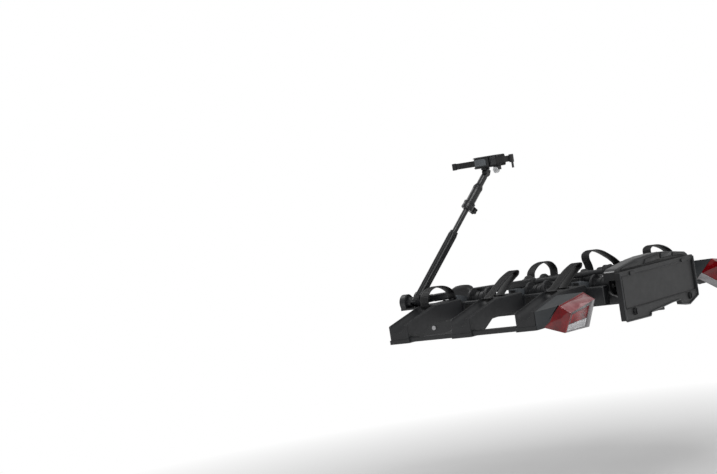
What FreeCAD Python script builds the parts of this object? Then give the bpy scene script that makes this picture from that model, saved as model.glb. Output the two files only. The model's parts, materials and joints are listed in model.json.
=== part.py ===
import FreeCAD
import Part
import math
import os

V = FreeCAD.Vector
os.makedirs("parts", exist_ok=True)

# Folding platform carrier for three bicycles, held on a tow ball, millimetres.
# Frame: origin at the centre of the tow ball, +X to the vehicle's right, +Y towards the vehicle, +Z up.

# Driving dimensions of the deck
tray_pitch = 245.0
first_tray_y = -290.0
tray_count = 3
tray_end_x = 610.0
tray_inner_x = 262.0
tray_width = 74.0
deck_z = 10.0
tray_face_height = 60.0
trough_radius = 28.0
trough_rise = 42.0
trough_inner_x = 442.0
trough_lift = 3.0
belly_outer_x = tray_end_x - 65
belly_inner_x = tray_end_x - 140
ramp_top_x = 430.0
moulding_wall = 4.0
tray_skirt = 2.0
tray_skirt_height = 14.0
tray_crest_radius = 4.0
tray_ribs = 4

# The last tray, from which what lies behind it is placed
last_tray_y = first_tray_y - tray_pitch * (tray_count - 1)
middle_tray_y = (first_tray_y + last_tray_y) / 2

# Wing hinges, each behind the buckle of its tray
hinge_x = 185.0
hinge_z = 98.0
hinge_disc_radius = 38.0
hinge_disc_thickness = 8.0
hinge_barrel_radius = 25.0
hinge_pin_radius = 6.0
hinge_head = 4.0
hinge_side_gap = 0.4
hinge_barrel_length = 56.0
hinge_reach = hinge_barrel_length / 2 + hinge_side_gap + hinge_disc_thickness
buckle_width = 36.0
behind_buckle = buckle_width / 2 + hinge_reach
hinge_station_y = (first_tray_y - behind_buckle - 15.6, middle_tray_y - behind_buckle - 2.6,
                   last_tray_y - behind_buckle - 7.6)
hinge_rear_y = hinge_station_y[-1] - hinge_reach - hinge_head
bracket_wall_x = 118.0
hinge_barrel_grooves = 3
hinge_groove = 2.0
wing_beam_x = 226.0
wing_beam_width = tray_inner_x - wing_beam_x
wing_beam_height = 62.0
wing_beam_top_z = 100.0
wing_beam_wall = 4.0
wing_beam_ribs = 6
wing_beam_front_y = first_tray_y + 40
wing_beam_rear_y = hinge_rear_y + 4.4

# Coupling on the tow ball
ball_radius = 25.0
ball_clearance = 0.1
cup_radius = 34.0
cup_depth = 36.0
cup_top = 24.0
housing_half_width = 46.0
tilt_pin_radius = 8.0
tilt_y = -55.0
tilt_z = 4.0
cheek_thickness = 8.0

# Number plate panel
panel_half_width = 266.0
panel_bottom_z = -26.0
panel_top_z = 138.0
panel_thickness = 16.0
panel_recess = 4.0
panel_wall = 3.5
cover_depth = 44.0
cover_gap = 2.6
support_depth = 37.0
panel_face_y = hinge_rear_y - cover_gap - cover_depth - panel_thickness
panel_pockets = 6
clip_x = (-180.0, 190.0)
pedal_y = panel_face_y + 37
pedal_z = -14.0
pedal_half_width = 45.0
pedal_pin_radius = 4.0

# Centre frame
beam_half_width = 45.0
beam_bottom_z = 18.0
beam_top_z = 78.0
beam_wall = 4.0
beam_front_y = -100.0
beam_rear_y = panel_face_y + panel_thickness + support_depth

# Bike arms
arm_x = 45.0
arm_pivot_y = 11.0
arm_pivot_z = 104.0
arm_eye_radius = 14.0
arm_eye_width = 24.0
arm_pin_radius = 5.0
fork_cheek = 6.0
swivel_radius = 18.0
ear_radius = 30.0
ear_thickness = 22.0
ear_front_y = 66.0
lower_tube_start = 22.0
lower_tube_width = 27.0
inner_tube_radius = 10.0
slide_clearance = 0.05
sleeve_radius = 17.0
collar_radius = 21.0
collar_length = 30.0
knob_radius = 14.0
knob_length = 15.0
knob_lobes = 5
head_radius = 12.5
head_eye_radius = 10.5
head_eye_width = 12.0
head_neck = 16.0
yoke_cheek = 5.5
yoke_pin_radius = 4.0
yoke_disc_radius = 15.0
yoke_top = 17.0
raised_lean = 33.0
raised_rake = 22.0
raised_lower_end = 280.0
raised_inner_start = 125.0
raised_sleeve_start = 385.0
raised_sleeve_end = 480.0
raised_head_end = 540.0
stowed_climb = 1.9
stowed_head_end = 32 - last_tray_y
stowed_sleeve_end = stowed_head_end - 32
stowed_sleeve_start = stowed_sleeve_end - 50
stowed_lower_end = stowed_sleeve_start - 290
stowed_inner_start = stowed_lower_end - 110

# Frame holder at the end of an arm
holder_length = 112.0
holder_height = 42.0
holder_width = 40.0
holder_tube_radius = 18.0
holder_rear = -78.0
holder_base = 18.0
holder_tail = 118.0
strap_width = 22.0
strap_thickness = 4.0
lock_radius = 13.0
lock_barrel_radius = 8.45
strap_teeth = 10
saddle_y = holder_rear - 11
lock_y = holder_rear + 22
lever_pin_y = holder_rear + 50
lever_pin_x = 5 - holder_width / 2
strap_base = holder_base + (holder_height - strap_width) / 2

# Wheel straps and their buckles
wheel_strap_width = 26.0
wheel_strap_thickness = 4.5
buckle_core = 18.0
buckle_nose_x = 163.0
buckle_end_x = 148.0
buckle_pin_x = 174.0
buckle_pin_z = 100.0
buckle_top_z = 124.0
buckle_drop = 12.0
lever_nose = 11.0
lever_gap = 0.4
fit_clearance = 0.05
press_clearance = 0.02

# Lights, leaning back from the joint with their housing
light_outer_x = tray_end_x + 12
light_inner_x = 462.0
light_rise = 22.0
light_joint_low = (last_tray_y - 72, 17.0)
light_joint_top = (last_tray_y - 138, 81.0)
light_rear_top = (last_tray_y - 177, 54.0)
light_rear_low = (last_tray_y - 145, -6.0)
light_corner = 4.0
lens_wall = 3.0
clear_height = 26.0
clear_outer_x = light_outer_x - 18
clear_inner_x = light_inner_x + 16


def box(x0, x1, y0, y1, z0, z1):
    """Block between two corners, given as ranges along the three axes."""
    low = V(min(x0, x1), min(y0, y1), min(z0, z1))
    return Part.makeBox(abs(x1 - x0), abs(y1 - y0), abs(z1 - z0), low)


def prism(points, travel):
    """Closed outline through 3D points, pushed along a vector."""
    ring = Part.makePolygon(list(points) + [points[0]])
    return Part.Face(ring).extrude(travel)


def prism_xz(points, y0, y1):
    return prism([V(x, y0, z) for x, z in points], V(0, y1 - y0, 0))


def prism_yz(points, x0, x1):
    return prism([V(x0, y, z) for y, z in points], V(x1 - x0, 0, 0))


def inset(points, distances):
    """Closed outline with each side moved in by its own distance, side n running from point n to the next."""
    count = len(points)
    pairs = [(points[n], points[(n + 1) % count]) for n in range(count)]
    area = sum(a[0] * b[1] - b[0] * a[1] for a, b in pairs)
    normals = []
    for a, b in pairs:
        length = math.hypot(b[0] - a[0], b[1] - a[1]) * (1 if area > 0 else -1)
        normals.append(((a[1] - b[1]) / length, (b[0] - a[0]) / length))
    moved = []
    for n in range(count):
        one, two = normals[n - 1], normals[n]
        first, second = distances[n - 1], distances[n]
        cross = one[0] * two[1] - one[1] * two[0]
        moved.append((points[n][0] + (first * two[1] - second * one[1]) / cross,
                      points[n][1] + (second * one[0] - first * two[0]) / cross))
    return moved


def rod(start, end, radius):
    """Cylinder from one point to another."""
    along = end - start
    return Part.makeCylinder(radius, along.Length, start, along)


def soften(shape, radius, keep):
    """Fillet the edges for which keep(edge) is true."""
    edges = [e for e in shape.Edges if keep(e)]
    return shape.makeFillet(radius, edges) if edges else shape


def runs_along(axis):
    """Test for straight edges that run along X, Y or Z (0, 1, 2)."""
    def test(edge):
        if len(edge.Vertexes) < 2:
            return False
        d = edge.Vertexes[0].Point - edge.Vertexes[1].Point
        others = [abs(d[i]) for i in range(3) if i != axis]
        return abs(d[axis]) > 1.0 and max(others) < 1e-3
    return test


def union(first, *rest):
    shape = first
    for other in rest:
        shape = shape.fuse(other)
    return shape.removeSplitter()


def mirrored(shape):
    """The same piece on the vehicle's right."""
    return shape.mirror(V(0, 0, 0), V(1, 0, 0))


def save(name, *shapes):
    solids = [solid for shape in shapes for solid in shape.Solids]
    whole = solids[0] if len(solids) == 1 else Part.makeCompound(solids)
    whole.exportStep("parts/" + name + ".step")


def tray_y(index):
    return first_tray_y - tray_pitch * index


# Ramp of a tray: height of its top edge at a distance from the middle of the carrier
def tray_top(x):
    share = (tray_end_x - x) / (tray_end_x - ramp_top_x)
    return deck_z + tray_face_height + trough_rise * min(share, 1.0)


def ribbon(points, thickness, y0, width):
    """Flat band whose middle line runs smoothly through points in the XZ plane."""
    middle = Part.BSplineCurve()
    middle.interpolate([V(x, y0, z) for x, z in points])
    steps = 3 * (len(points) - 1)
    first, last = middle.FirstParameter, middle.LastParameter

    def side(sign):
        line = []
        for n in range(steps + 1):
            at = first + (last - first) * n / steps
            tangent = middle.tangent(at)[0]
            line.append(middle.value(at) + V(-tangent.z, 0, tangent.x) * (sign * thickness / 2))
        return line

    outer = side(1)
    inner = side(-1)[::-1]
    edges = []
    for start, line in ((inner[-1], outer), (outer[-1], inner)):
        edges.append(Part.makeLine(start, line[0]))
        curve = Part.BSplineCurve()
        curve.interpolate(line)
        edges.append(curve.toShape())
    return Part.Face(Part.Wire(edges)).extrude(V(0, width, 0))


def tray(index):
    """Wheel tray of the left wing: ramped moulding with a rounded trough and an open underside."""
    y = tray_y(index)
    half = tray_width / 2
    inner_top = tray_top(tray_inner_x)
    outline = [
        (-tray_end_x, deck_z),
        (-tray_end_x, deck_z + tray_face_height),
        (-ramp_top_x, inner_top),
        (-tray_inner_x, inner_top),
        (-tray_inner_x, deck_z + 46),
        (-belly_inner_x, deck_z + 40),
        (-belly_outer_x, deck_z),
    ]
    body = prism_xz(outline, y - half, y + half)
    body = soften(body, 7.0, runs_along(2))
    rim = deck_z + tray_face_height - 1
    across = runs_along(1)
    body = soften(body, tray_crest_radius,
                  lambda e: e.BoundBox.ZMin > rim and e.Length > 100 and not across(e))
    wall = moulding_wall
    hollow = prism_xz([
        (-tray_end_x + wall, deck_z - 9),
        (-tray_end_x + wall, deck_z + tray_face_height - wall),
        (-ramp_top_x, inner_top - wall - 1),
        (-tray_inner_x - wall, inner_top - wall - 1),
        (-tray_inner_x - wall, deck_z + 20),
        (-belly_inner_x, deck_z + 20),
        (-belly_outer_x, deck_z - 9),
    ], y - half + wall, y + half - wall)
    skirt = box(-tray_end_x - tray_skirt, -tray_end_x + 40, y - half - tray_skirt, y + half + tray_skirt,
                deck_z, deck_z + tray_skirt_height)
    skirt = soften(skirt, 5.0, runs_along(2))
    body = body.fuse(soften(skirt, 1.5, lambda e: e.BoundBox.ZMin > deck_z + 1))
    start_x = tray_end_x + 40
    low = V(-start_x, y, tray_top(start_x) + trough_lift)
    high = V(-trough_inner_x, y, tray_top(trough_inner_x) + trough_lift)
    trough = rod(low, high, trough_radius).fuse(Part.makeSphere(trough_radius, high))
    grooves = []
    for at in (y - 14, y + 14):
        grooves.append(box(-tray_inner_x - 120, -tray_inner_x - 12, at - 3, at + 3,
                           inner_top - 4, inner_top + 1))
    skin = rod(low, high, trough_radius + wall).fuse(Part.makeSphere(trough_radius + wall, high))
    hollow = hollow.cut(skin)
    for n in range(1, tray_ribs + 1):
        x = -tray_end_x + (tray_end_x - tray_inner_x) * n / (tray_ribs + 1)
        hollow = hollow.cut(box(x - 1.5, x + 1.5, y - half, y + half, deck_z - 10, inner_top))
    body = body.cut(hollow).cut(trough)
    for cut in grooves:
        body = body.cut(cut)
    return body.removeSplitter()


def link_bar(index):
    """Outer bar between two neighbouring tray ends."""
    gap = tray_width / 2 + tray_skirt
    front = tray_y(index) - gap
    rear = tray_y(index + 1) + gap
    bar = box(-tray_end_x + 6, -tray_end_x + 38, rear, front, deck_z + 2, deck_z + 18)
    return soften(bar, 4.0, runs_along(1))


def wing_beam():
    """Channel behind the trays, ribbed underneath, with the hinge barrels that turn on the wing pins."""
    outer = -wing_beam_x - wing_beam_width
    wall = wing_beam_wall
    low = wing_beam_top_z - wing_beam_height
    beam = box(outer, -wing_beam_x, wing_beam_rear_y, wing_beam_front_y, low, wing_beam_top_z)
    beam = soften(beam, 6.0, lambda e: runs_along(1)(e) and e.BoundBox.ZMin > wing_beam_top_z - 1)
    beam = soften(beam, 5.0, runs_along(2))
    inside = box(outer + wall, -wing_beam_x - wall, wing_beam_rear_y + wall, wing_beam_front_y - wall,
                 low - 1, wing_beam_top_z - wall)
    run = wing_beam_front_y - wing_beam_rear_y
    for n in range(1, wing_beam_ribs + 1):
        y = wing_beam_rear_y + run * n / (wing_beam_ribs + 1)
        inside = inside.cut(box(outer, -wing_beam_x, y - 1.5, y + 1.5, low + 8, wing_beam_top_z))
    beam = beam.cut(inside)
    for y in hinge_station_y:
        half = hinge_barrel_length / 2
        start = V(-hinge_x, y - half, hinge_z)
        end = V(-hinge_x, y + half, hinge_z)
        barrel = rod(start, end, hinge_barrel_radius)
        for n in range(hinge_barrel_grooves):
            at = V(-hinge_x, y - half + hinge_barrel_length * (n + 0.5) / hinge_barrel_grooves, hinge_z)
            waist = rod(at - V(0, 3, 0), at + V(0, 3, 0), hinge_barrel_radius + 1)
            core = rod(at - V(0, 4, 0), at + V(0, 4, 0), hinge_barrel_radius - hinge_groove)
            barrel = barrel.cut(waist.cut(core))
        web = box(-wing_beam_x - 1, -hinge_x, y - half + 6, y + half - 6, hinge_z - 20, hinge_z - 2)
        beam = beam.fuse(barrel).fuse(web)
        beam = beam.cut(rod(start, end, hinge_pin_radius + fit_clearance))
    return beam.removeSplitter()


def buckle_top(x):
    """Height of a buckle's sloping top at a distance from the middle of the carrier."""
    return buckle_top_z - buckle_drop * (tray_inner_x - x) / (tray_inner_x - buckle_nose_x)


def buckle_core_outline(gap):
    """Side of the buckle's core under its lever, grown by a gap."""
    seat = wing_beam_top_z
    roof = 5 - gap
    return [
        (-tray_inner_x - gap, seat - gap),
        (-tray_inner_x - gap, buckle_top(tray_inner_x) - roof),
        (-buckle_pin_x - lever_nose, buckle_top(buckle_pin_x + lever_nose) - roof),
        (-buckle_end_x, buckle_pin_z + 5 + gap),
        (-buckle_end_x, buckle_pin_z - 14),
        (-wing_beam_x + 1, buckle_pin_z - 14),
        (-wing_beam_x + 1, seat),
    ]


def wheel_buckle(index):
    """Ratchet body that takes the wheel strap: a core on the wing beam and a wide end behind the lever."""
    y = tray_y(index)
    half = buckle_width / 2
    core = prism_xz(buckle_core_outline(0), y - buckle_core / 2, y + buckle_core / 2)
    end = box(-buckle_nose_x + 1, -buckle_end_x, y - half, y + half, buckle_pin_z - 18, buckle_pin_z + 8)
    end = soften(end, 3.0, runs_along(1))
    pin = V(-buckle_pin_x, y, buckle_pin_z)
    hole = rod(pin - V(0, half, 0), pin + V(0, half, 0), 2.0)
    return core.fuse(end).removeSplitter().cut(hole)


def wheel_lever(index):
    """Pumping lever that covers the buckle's core, turning on its own cross pin."""
    y = tray_y(index)
    half = buckle_width / 2
    pin = V(-buckle_pin_x, y, buckle_pin_z)
    seat = wing_beam_top_z + lever_gap
    outline = [
        (-tray_inner_x + 1, seat),
        (-tray_inner_x + 1, buckle_top(tray_inner_x)),
        (-buckle_pin_x, buckle_pin_z + lever_nose),
        (-buckle_pin_x, buckle_pin_z - lever_nose),
        (-wing_beam_x + 2, buckle_pin_z - lever_nose),
        (-wing_beam_x + 2, seat),
    ]
    pad = prism_xz(outline, y - half, y + half)
    along = runs_along(1)
    pad = soften(pad, 3.0,
                 lambda e: along(e) and e.BoundBox.XMax < -wing_beam_x and e.BoundBox.ZMin > seat + 1)
    pad = pad.fuse(rod(pin - V(0, half, 0), pin + V(0, half, 0), lever_nose))
    room = buckle_core / 2 + lever_gap
    pad = pad.cut(prism_xz(buckle_core_outline(lever_gap), y - room, y + room))
    nose_x = buckle_pin_x + lever_nose
    pad = pad.cut(box(-nose_x, -buckle_end_x, y - room, y + room, seat - 40, buckle_top_z))
    return union(pad, rod(pin - V(0, half - 1, 0), pin + V(0, half - 1, 0), 1.95))


def wheel_strap(index, points):
    """Wheel strap of a tray, bent through points given from the tray's crest."""
    base = tray_top(ramp_top_x) + wheel_strap_thickness / 2
    bent = [(x, base + rise) for x, rise in points]
    return ribbon(bent, wheel_strap_thickness, tray_y(index) - wheel_strap_width / 2, wheel_strap_width)


# Ways that a strap lies: standing up in a narrow loop, in a wide arch, and low over a wheel
strap_end_x = tray_inner_x + 0.6
loop_points = [
    (-408.0, 0), (-390.0, 22), (-342.0, 50), (-288.0, 70), (-252.0, 78),
    (-244.0, 70), (-266.0, 60), (-318.0, 42), (-366.0, 16), (-382.0, 0),
]
arch_points = [
    (-400.0, 0), (-428.0, 30), (-412.0, 60), (-360.0, 78), (-304.0, 70),
    (-284.0, 40), (-279.0, 12), (-strap_end_x, 0),
]
low_points = [
    (-402.0, 0), (-414.0, 20), (-398.0, 38), (-360.0, 42), (-310.0, 27), (-282.0, 8), (-strap_end_x, 0),
]


def light_section(wall):
    """Side of the light as (y, z), with its walls moved in except at the joint with the housing."""
    points = [light_joint_low, light_joint_top, light_rear_top, light_rear_low]
    return inset(points, (-1.0, wall, wall, wall)) if wall else points


def light_ends(wall):
    """The light's outline at its outer end and, raised, at its inner end."""
    section = light_section(wall)
    outer = [V(-light_outer_x + wall, y, z) for y, z in section]
    inner = [V(-light_inner_x - wall, y, z + light_rise) for y, z in section]
    return outer, inner


def through(rings):
    """Solid with flat sides through closed rings of points."""
    return Part.makeLoft([Part.makePolygon(ring + [ring[0]]) for ring in rings], True, True)


def light_lens():
    """Leaning shell of the lens, open towards the housing."""
    lens = soften(through(light_ends(0)), light_corner, lambda e: e.BoundBox.YMax < light_joint_top[0] - 8)
    return lens.cut(through(light_ends(lens_wall)))


def light_housing():
    """Dark hollow shell from the last tray end to the joint with the lens."""
    y_tray = last_tray_y - tray_width / 2 - tray_skirt
    near = [
        (-tray_end_x, deck_z),
        (-tray_end_x, deck_z + 58),
        (-light_inner_x, deck_z + 92),
        (-light_inner_x, deck_z + 30),
    ]
    outer, inner = light_ends(0)
    joint = [outer[0], outer[1], inner[1], inner[0]]
    middle = (joint[0] + joint[2]) * 0.5
    shells = []
    for wall, past in ((0, 0), (moulding_wall, 1.0)):
        start = inset(near, [wall] * len(near))
        end = [point + (middle - point).normalize() * (wall * 1.4) - V(0, past, 0) for point in joint]
        shells.append(through([[V(x, y_tray + past, z) for x, z in start], end]))
    return shells[0].cut(shells[1]).removeSplitter()


def clear_zone():
    """Lower part of the rear face, where the lens is clear."""
    low = light_rear_low[1]
    return box(-clear_outer_x, -clear_inner_x, light_rear_top[0], light_joint_top[0],
               low - 9, low + clear_height)


def light_red():
    return light_lens().cut(clear_zone())


def light_clear():
    return light_lens().common(clear_zone())


# Left wing pieces, and the same on the right
for side, place in (("left", lambda s: s), ("right", mirrored)):
    save(side + "_wing_beam", place(wing_beam()))
    for index in range(tray_count):
        save(side + "_wheel_tray_" + str(index + 1), place(tray(index)))
        save(side + "_pump_lever_" + str(index + 1), place(wheel_lever(index)))
    save(side + "_tray_link_bars", *[place(link_bar(i)) for i in range(tray_count - 1)])
    save(side + "_wheel_buckles", *[place(wheel_buckle(i)) for i in range(tray_count)])
    later = loop_points if side == "left" else arch_points
    first = low_points if side == "left" else arch_points
    straps = [wheel_strap(i, later if i else first) for i in range(tray_count)]
    save(side + "_wheel_straps", *[place(strap) for strap in straps])
    save(side + "_light_housing", place(light_housing()))
    save(side + "_light_red_lens", place(light_red()))
    save(side + "_light_clear_lens", place(light_clear()))
    pins = []
    for y in hinge_station_y:
        reach = hinge_barrel_length / 2 + hinge_side_gap + hinge_disc_thickness
        start = V(-hinge_x, y - reach - hinge_head, hinge_z)
        pin = rod(start, V(-hinge_x, y + reach, hinge_z), hinge_pin_radius)
        head = rod(start, V(-hinge_x, y - reach, hinge_z), hinge_pin_radius + 4)
        pins.append(place(union(pin, head)))
    save(side + "_hinge_pins", *pins)


def housing():
    """Coupling housing over the tow ball, bored for the cup and the tilt pin."""
    outline = [(44, -34), (50, 8), (38, 50), (12, 64), (-44, 64), (-76, 40), (-84, 6), (-76, -26), (-40, -34)]
    body = prism_yz(outline, -housing_half_width, housing_half_width)
    body = soften(body, 7.0, runs_along(0))
    body = body.cut(rod(V(0, 0, -cup_depth), V(0, 0, cup_top), cup_radius))
    pin = rod(V(-80, tilt_y, tilt_z), V(80, tilt_y, tilt_z), tilt_pin_radius + fit_clearance)
    lever_bolt = rod(V(housing_half_width - 18, 18, 34), V(housing_half_width + 1, 18, 34), 5 + fit_clearance)
    return body.cut(pin).cut(lever_bolt)


def ball_cup():
    """Hard cup with the socket that sits on the ball."""
    cup = rod(V(0, 0, -34), V(0, 0, cup_top), cup_radius)
    socket = Part.makeSphere(ball_radius + ball_clearance)
    mouth = rod(V(0, 0, -40), V(0, 0, 0), ball_radius + ball_clearance)
    return cup.cut(socket).cut(mouth)


def coupling_lever():
    """Long clamping lever on the right of the housing, with a rounded grip."""
    x0 = housing_half_width + cheek_thickness + 8
    outline = [(32, 26), (30, 44), (14, 50), (-60, 44), (-150, 40), (-168, 34), (-168, 26), (-150, 22),
               (-60, 26), (10, 20)]
    arm = prism_yz(outline, x0, x0 + 10)
    arm = soften(arm, 3.0, runs_along(0))
    bolt = rod(V(housing_half_width - 17, 18, 34), V(x0 + 10, 18, 34), 5)
    grip = soften(box(x0, x0 + 24, -170, -112, 20, 42), 8.0, runs_along(1))
    return union(arm, bolt, grip)


def centre_beam():
    """Box beam under the deck with the fork that pivots on the coupling."""
    beam = box(-beam_half_width, beam_half_width, beam_rear_y, beam_front_y, beam_bottom_z, beam_top_z)
    beam = soften(beam, 8.0, runs_along(1))
    inside = box(-beam_half_width + beam_wall, beam_half_width - beam_wall, beam_rear_y - 1,
                 beam_front_y - beam_wall, beam_bottom_z + beam_wall, beam_top_z - beam_wall)
    beam = beam.cut(inside)
    gap = housing_half_width + 0.4
    for side in (-1, 1):
        outline = [(-170, beam_bottom_z + 4), (-120, -14), (-60, -20), (-34, -10), (-30, 40), (-60, 74),
                   (-170, beam_top_z - 6)]
        cheek = prism_yz(outline, side * gap, side * (gap + cheek_thickness))
        spacer = box(side * (beam_half_width - 6), side * gap, -168, beam_front_y - 3,
                     beam_bottom_z + 10, beam_top_z - 12)
        beam = beam.fuse(soften(cheek, 8.0, runs_along(0))).fuse(spacer)
    pin = rod(V(-80, tilt_y, tilt_z), V(80, tilt_y, tilt_z), tilt_pin_radius + fit_clearance)
    return beam.cut(pin).removeSplitter()


def hinge_bracket(y):
    """Cross tube over the beam that ends in the discs on both sides of each wing barrel."""
    half = hinge_barrel_length / 2 + hinge_side_gap
    reach = half + hinge_disc_thickness
    low = beam_bottom_z + 14
    high = beam_top_z - 4
    sides = []
    for side in (-1, 1):
        x = side * hinge_x
        wall_x = side * bracket_wall_x
        tube = box(side * beam_half_width, wall_x, y - 26, y + 26, low, high)
        bore = box(side * (beam_half_width - 1), wall_x - side * 6, y - 22, y + 22, low + 4, high - 4)
        wall = box(wall_x - side * 6, wall_x, y - reach, y + reach, low, high)
        pad = box(wall_x, wall_x + side * 8, y - half, y + half, low + 2, high - 2)
        parts = [soften(tube, 8.0, runs_along(0)).cut(bore), wall, pad]
        for end in (-1, 1):
            near = y + end * half
            travel = V(0, end * hinge_disc_thickness, 0)
            centre = V(x, near, hinge_z)
            disc = rod(centre, centre + travel, hinge_disc_radius)
            arm = prism([centre + V(0, 0, hinge_disc_radius - 3), centre - V(0, 0, hinge_disc_radius),
                         V(wall_x, near, low), V(wall_x, near, high)], travel)
            hole = rod(centre - travel, centre + travel * 2, hinge_pin_radius + press_clearance)
            parts.append(disc.fuse(arm).cut(hole))
        clear = rod(V(x, y - half, hinge_z), V(x, y + half, hinge_z), hinge_barrel_radius + 14)
        sides.append(union(parts[0], *parts[1:]).cut(clear))
    return sides


def arm_base():
    """Plate over the coupling with an upright ear for each bike arm."""
    top = beam_top_z + 6
    plate = box(-72, 72, 0, ear_front_y, top - 6, top).fuse(box(-54, 54, -128, 0, top - 6, top))
    plate = plate.fuse(box(-beam_half_width, beam_half_width, -128, beam_front_y - 4, beam_top_z, top))
    for side in (-1, 1):
        x = side * arm_x
        front = V(x, ear_front_y, arm_pivot_z)
        rear = V(x, ear_front_y - ear_thickness, arm_pivot_z)
        ear = rod(rear, front, ear_radius).fuse(
            box(x - ear_radius + 4, x + ear_radius - 4, rear.y, front.y, top - 3, arm_pivot_z))
        plate = plate.fuse(ear)
    ear_rear_y = ear_front_y - ear_thickness
    for x in (-arm_x, arm_x):
        hole = rod(V(x, ear_rear_y - 1, arm_pivot_z), V(x, ear_front_y + 1, arm_pivot_z), 8 + fit_clearance)
        below = box(x - 60, x + 60, ear_rear_y - 1, ear_front_y + 1, beam_bottom_z, top - 6)
        plate = plate.cut(hole).cut(below)
    return plate.removeSplitter()


def arm_frame(side, lean, rake):
    """Placement that stands an arm on its pivot: local Z along the arm, local X along its fold pin."""
    a = math.radians(lean)
    b = math.radians(rake)
    across = V(math.cos(a), 0, -math.sin(a))
    up = V(math.sin(a), 0, math.cos(a))
    along = up * math.cos(b) + V(0, -1, 0) * math.sin(b)
    turn = FreeCAD.Rotation(across, along.cross(across), along, "ZXY")
    return FreeCAD.Placement(V(side * arm_x, arm_pivot_y, arm_pivot_z), turn)


def placed(shape, placement):
    moved = shape.copy()
    moved.transformShape(placement.toMatrix())
    return moved


def swivel(side, lean):
    """Swivel that turns in the ear, with the fork for the arm's eye."""
    x = side * arm_x
    ear_rear_y = ear_front_y - ear_thickness
    barrel_rear = arm_pivot_y + arm_eye_radius + 3
    barrel_front = ear_rear_y - 0.3
    tail = rod(V(x, barrel_front, arm_pivot_z), V(x, ear_front_y + 4, arm_pivot_z), 8)
    barrel = rod(V(x, barrel_rear, arm_pivot_z), V(x, barrel_front, arm_pivot_z), swivel_radius)
    half = arm_eye_width / 2 + 0.3
    cheeks = []
    frame = arm_frame(side, lean, 0)
    for end in (-1, 1):
        cheek = box(end * half, end * (half + fork_cheek), 0, barrel_rear - arm_pivot_y + 2, -11, 11)
        cheek = cheek.fuse(rod(V(end * half, 0, 0), V(end * (half + fork_cheek), 0, 0), 11))
        hole = rod(V(end * (half - 1), 0, 0), V(end * (half + fork_cheek + 1), 0, 0),
                   arm_pin_radius + press_clearance)
        cheeks.append(placed(cheek.cut(hole), frame))
    return union(tail, barrel, *cheeks)


def arm_pin(side, lean):
    reach = arm_eye_width / 2 + 0.3 + fork_cheek
    pin = rod(V(-reach, 0, 0), V(reach, 0, 0), arm_pin_radius)
    return placed(pin, arm_frame(side, lean, 0))


def arm_section(start, end):
    """Ridged outer profile of the lower tube, with rounded corners and two grooves a side."""
    half = lower_tube_width / 2
    tube = box(-half, half, -half, half, start, end)
    tube = soften(tube, 6.0, runs_along(2))
    for k in range(4):
        for offset in (-5.0, 5.0):
            groove = box(half - 1.5, half + 1, offset - 1.2, offset + 1.2, start - 1, end + 1)
            groove.rotate(V(0, 0, 0), V(0, 0, 1), 90 * k)
            tube = tube.cut(groove)
    return tube


def lower_tube(end, placement):
    eye = rod(V(-arm_eye_width / 2, 0, 0), V(arm_eye_width / 2, 0, 0), arm_eye_radius)
    neck = box(-arm_eye_width / 2, arm_eye_width / 2, -10, 10, 0, lower_tube_start + 1)
    tube = arm_section(lower_tube_start, end)
    rim = rod(V(0, 0, end - 1), V(0, 0, end + 12), lower_tube_width / 2 + 1)
    tube = tube.fuse(rim)
    bore = rod(V(0, 0, lower_tube_start + 8), V(0, 0, end + 20), inner_tube_radius + slide_clearance)
    tube = tube.cut(bore)
    whole = eye.fuse(neck).fuse(tube)
    whole = whole.cut(rod(V(-30, 0, 0), V(30, 0, 0), arm_pin_radius + fit_clearance))
    return placed(whole.removeSplitter(), placement)


def inner_tube(start, end, placement):
    tube = rod(V(0, 0, start), V(0, 0, end), inner_tube_radius)
    bore = rod(V(0, 0, start - 1), V(0, 0, end + 1), inner_tube_radius - 2.5)
    return placed(tube.cut(bore), placement)


def sleeve(start, end, head_end, placement):
    """Upper sleeve with the clamping collar and the narrower head tube that ends in an eye."""
    body = rod(V(0, 0, start), V(0, 0, end), sleeve_radius)
    collar = rod(V(0, 0, start), V(0, 0, start + collar_length), collar_radius)
    collar = soften(collar, 3.0, lambda e: e.Length > 100)
    boss = rod(V(0, 0, start + collar_length / 2), V(collar_radius + 6, 0, start + collar_length / 2), 9)
    cone = Part.makeCone(sleeve_radius, head_radius, 10, V(0, 0, end), V(0, 0, 1))
    head = rod(V(0, 0, end + 9), V(0, 0, head_end - head_neck), head_radius)
    side = head_eye_width / 2
    neck = box(-side, side, -head_eye_radius, head_eye_radius, head_end - head_neck - 1, head_end)
    eye = rod(V(-side, 0, head_end), V(side, 0, head_end), head_eye_radius)
    body = union(body, collar, boss, cone, head, neck, eye)
    body = body.cut(rod(V(0, 0, start - 1), V(0, 0, end), inner_tube_radius + press_clearance))
    body = body.cut(rod(V(-side - 1, 0, head_end), V(side + 1, 0, head_end), yoke_pin_radius + fit_clearance))
    screw = rod(V(inner_tube_radius, 0, start + collar_length / 2),
                V(collar_radius + 7, 0, start + collar_length / 2), 3 + fit_clearance)
    return placed(body.cut(screw), placement)


def knob(start, placement):
    """Lobed clamping knob with its screw, turning in the collar's boss."""
    z = start + collar_length / 2
    x = collar_radius + 6.4
    grip = rod(V(x, 0, z), V(x + knob_length, 0, z), knob_radius - 3)
    for n in range(knob_lobes):
        angle = 2 * math.pi * n / knob_lobes
        y = (knob_radius - 5) * math.cos(angle)
        dz = (knob_radius - 5) * math.sin(angle)
        grip = grip.fuse(rod(V(x, y, z + dz), V(x + knob_length, y, z + dz), 5))
    screw = rod(V(inner_tube_radius + 0.6, 0, z), V(x + 1, 0, z), 3)
    return placed(union(grip, screw), placement)


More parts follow.
